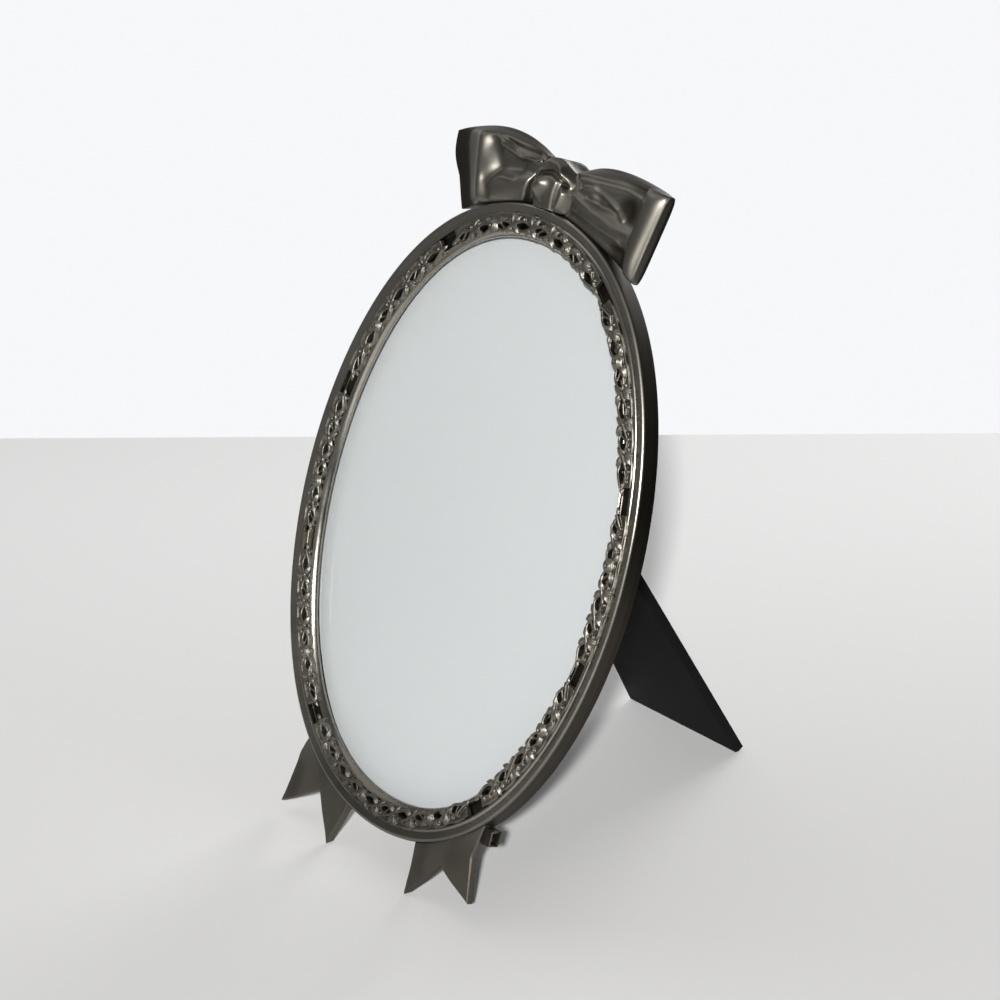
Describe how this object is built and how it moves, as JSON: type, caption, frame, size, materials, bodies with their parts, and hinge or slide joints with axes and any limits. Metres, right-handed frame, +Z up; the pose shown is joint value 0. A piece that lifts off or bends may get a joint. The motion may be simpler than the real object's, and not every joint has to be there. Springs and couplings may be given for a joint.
{
  "type": "oval photo frame",
  "caption": "Oval cast pewter table frame with a rose vine in a beaded rim, a ribbon bow on top, swallow-tail feet, glass, blank card and a folding easel strut.",
  "frame": {"origin": "on the surface that the frame stands on, under the middle of its bounding box", "axes": "+Z up, +X to the viewer's right across the face, -Y towards the viewer; the face leans back towards +Y"},
  "size_m": [0.0988, 0.0984, 0.1473],
  "materials": {
    "pewter": "antiqued cast pewter, satin polished on the high spots",
    "vine_pewter": "antiqued cast pewter, blackened in the hollows",
    "glass": "clear polished picture glass",
    "card": "plain matt card",
    "black_plastic": "moulded black plastic with a low sheen",
    "steel": "plain zinc-plated steel"
  },
  "bodies": {
    "frame": {"rim_casting": "pewter", "garland_right_upper": "vine_pewter", "garland_right_middle": "vine_pewter", "garland_right_lower": "vine_pewter", "garland_bottom": "vine_pewter", "garland_left_lower": "vine_pewter", "garland_left_middle": "vine_pewter", "garland_left_upper": "vine_pewter", "garland_top": "vine_pewter", "bow_loop_left": "pewter", "bow_loop_right": "pewter", "bow_knot": "pewter", "ribbon_tail_left": "pewter", "ribbon_tail_right": "pewter", "glass_pane": "glass", "picture_card": "card", "easel_back": "black_plastic", "hinge_pin": "steel", "button_rivet_left": "steel", "button_rivet_right": "steel"},
    "strut": {"strut": "black_plastic"},
    "turn_button_left": {"turn_button_left": "steel"},
    "turn_button_right": {"turn_button_right": "steel"}
  },
  "joints": [
    {"name": "strut_hinge", "type": "hinge", "parent": "frame", "child": "strut", "pos_m": [0, -0.0051, 0.09172], "axis": [1, 0, 0], "range_deg": [-50, 0]},
    {"name": "turn_button_left_pivot", "type": "hinge", "parent": "frame", "child": "turn_button_left", "pos_m": [-0.01535, -0.00222, 0.13136], "axis": [0, 0.9397, -0.342], "range_deg": [-90, 90]},
    {"name": "turn_button_right_pivot", "type": "hinge", "parent": "frame", "child": "turn_button_right", "pos_m": [0.01535, -0.00222, 0.13136], "axis": [0, 0.9397, -0.342], "range_deg": [-90, 90]}
  ]
}
